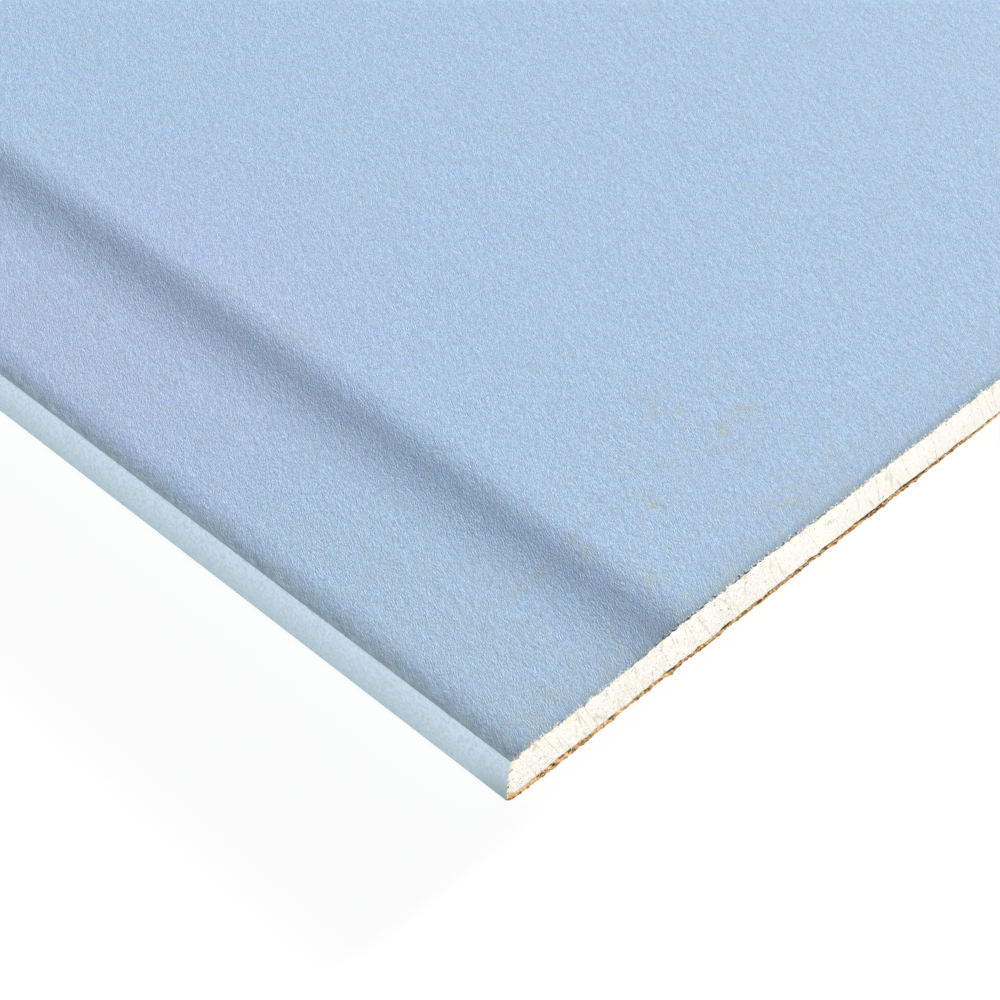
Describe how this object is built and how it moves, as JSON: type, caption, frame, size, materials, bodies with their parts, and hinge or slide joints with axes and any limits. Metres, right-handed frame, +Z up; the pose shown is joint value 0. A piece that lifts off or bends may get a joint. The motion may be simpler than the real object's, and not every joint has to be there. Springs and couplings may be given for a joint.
{
  "type": "drywall sheet",
  "caption": "Blue-faced drywall sheet for lining walls and ceilings: gypsum core, face paper wrapped round the tapered long edges, brown back paper, square-cut ends.",
  "frame": {"origin": "centre of the underside, on the floor that the sheet lies on", "axes": "+X across the sheet from one tapered long edge to the other, +Y along its length from one cut end to the other, +Z up out of the face paper"},
  "size_m": [1.2, 2.4, 0.0125],
  "materials": {
    "gypsum": "matt set gypsum, chalky where it is cut",
    "blue_face_paper": "matt, fibrous pale blue liner paper",
    "brown_back_paper": "matt brown recycled liner paper"
  },
  "bodies": {
    "root": {"gypsum_core": "gypsum", "face_paper": "blue_face_paper", "back_paper": "brown_back_paper"}
  },
  "joints": []
}
